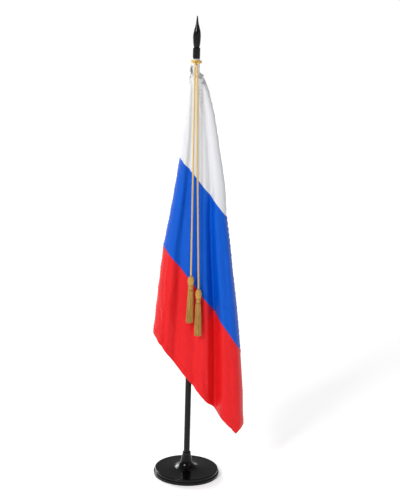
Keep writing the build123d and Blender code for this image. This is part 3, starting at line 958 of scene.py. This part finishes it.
# %% Black plastic and the hidden parts
def gloss_black(name, rough):
    """Glossy black moulded plastic."""
    plastic = Finish(name, base_color=colour("050506"), specular_ior_level=0.24)
    wavy = plastic.noise(60.0, 2.0)
    scuffs = plastic.noise(900.0, 6.0)
    plastic.feed(plastic.surface, {"Roughness": rough + scuffs * 0.05})
    plastic.bump(wavy, 0.02 * MM, 0.5)
    return plastic


gloss_black("black_plastic", 0.14).on(nodes["base_shell"], nodes["finial_ferrule"], nodes["finial_spear"])
gloss_black("black_pole", 0.16).on(nodes["pole_tube"], nodes["pole_end_plug"])
gloss_black("dark_inner_plastic", 0.45).on(nodes["pole_cup"])


def plain_finish(name, tint, rough, metal, grain, depth):
    """A plain finish with some grain, for the pieces that are seen from below."""
    finish = Finish(name, metallic=metal, base_color=colour(tint))
    grains = finish.noise(grain, 6.0)
    finish.feed(finish.surface, {"Roughness": rough + grains * 0.2})
    finish.bump(grains, depth)
    return finish


plain_finish("ballast_iron", "3a3836", 0.55, 1.0, 700.0, 0.10 * MM).on(nodes["ballast_disc"])
plain_finish("plate_steel", "8c8e90", 0.30, 1.0, 1500.0, 0.02 * MM).on(nodes["bottom_plate"])
plain_finish("zinc_screw", "b4b6b2", 0.28, 1.0, 1200.0, 0.02 * MM).on(nodes["cover_screws"])
plain_finish("felt", "141414", 0.85, 0.0, 2600.0, 0.35 * MM).on(nodes["felt_pad"])
print("finishes:", sorted(finish.name for finish in bpy.data.materials if finish.users))

# %% [markdown]
# ## Stage
#
# A pale flat floor, large enough to run to the horizon in any view. It glows a little, more so far
# off, so that it looks evenly lit, as in a studio with a light for the background. Only its colour
# changes with the distance, not the strength.

# %% Floor
FLOOR_HALF = 16.0
NEAR_GLOW, FAR_GLOW = 0.42, 0.78  # the floor far off is lit like the floor close by
GLOW_FROM, GLOW_TO = 0.8, 3.0
floor_corners = [(x * FLOOR_HALF, y * FLOOR_HALF, 0) for x, y in ((-1, -1), (1, -1), (1, 1), (-1, 1))]
floor = make_object("floor", floor_corners, [(0, 1, 2, 3)], smooth=False)
pale = Finish("pale_floor", roughness=0.6, emission_strength=1.0)
speck = pale.noise(40.0, 3.0)
pale.feed(pale.surface, {"Base Color": pale.mixed(speck, colour("f2f2f2"), colour("f6f6f6"))})
away = pale.wire(pale.node("VectorMath", {"operation": "LENGTH"}, {0: pale.place()}), "Value")
smoothly = {"interpolation_type": "SMOOTHSTEP"}
far_off = pale.wire(pale.node("MapRange", smoothly, {0: away, 1: GLOW_FROM, 2: GLOW_TO}))
pale.feed(pale.surface, {"Emission Color": pale.mixed(far_off, grey(NEAR_GLOW), grey(FAR_GLOW))})
pale.on(floor)
print(f"floor: {2 * FLOOR_HALF:.0f} m across")

# %% [markdown]
# Three square lights, all soft. The key stands high on the left in front, the fill opposite it only
# lifts the shaded folds, and the light behind draws the bright edge on the base.

# %% Lights
def light(name, place, size, power, aim=(0, 0, 0.22)):
    """A square soft light that faces the stand."""
    data = bpy.data.lights.new(name, "AREA")
    data.size, data.energy = size, power
    made = bpy.data.objects.new(name, data)
    made.location = place
    made.rotation_euler = (Vector(aim) - Vector(place)).to_track_quat("-Z", "Y").to_euler()
    bpy.context.scene.collection.objects.link(made)


# name, place, size in metres, power in watts
light("key_light", (-0.85, -1.35, 1.10), 0.35, 17)
light("fill_light", (1.3, -0.9, 0.8), 0.8, 1.5)
light("back_light", (-1.2, 1.8, 1.0), 1.2, 40)

# %% [markdown]
# The sky is bright at the horizon and dimmer above it. So the gloss black parts reflect a pale band
# near the floor, and stay black where they face up.

# %% Sky
ROOM_LIGHT, HORIZON = 0.24, 0.80
BAND_LOW, BAND_HIGH = 0.08, 0.16
world = bpy.data.worlds.new("pale_room")
world.use_nodes = True
room = Shading(world.node_tree, "Background")
rise = room.wire(room.node("SeparateXYZ", {}, {0: room.place("Generated")}), "Z")
above = room.wire(room.node("MapRange", {}, {0: rise, 1: BAND_LOW, 2: BAND_HIGH}))
room.feed(room.surface, {"Color": room.mixed(above, grey(HORIZON), grey(ROOM_LIGHT)), "Strength": 1.0})
bpy.context.scene.world = world
bpy.context.scene.view_settings.view_transform = "Standard"
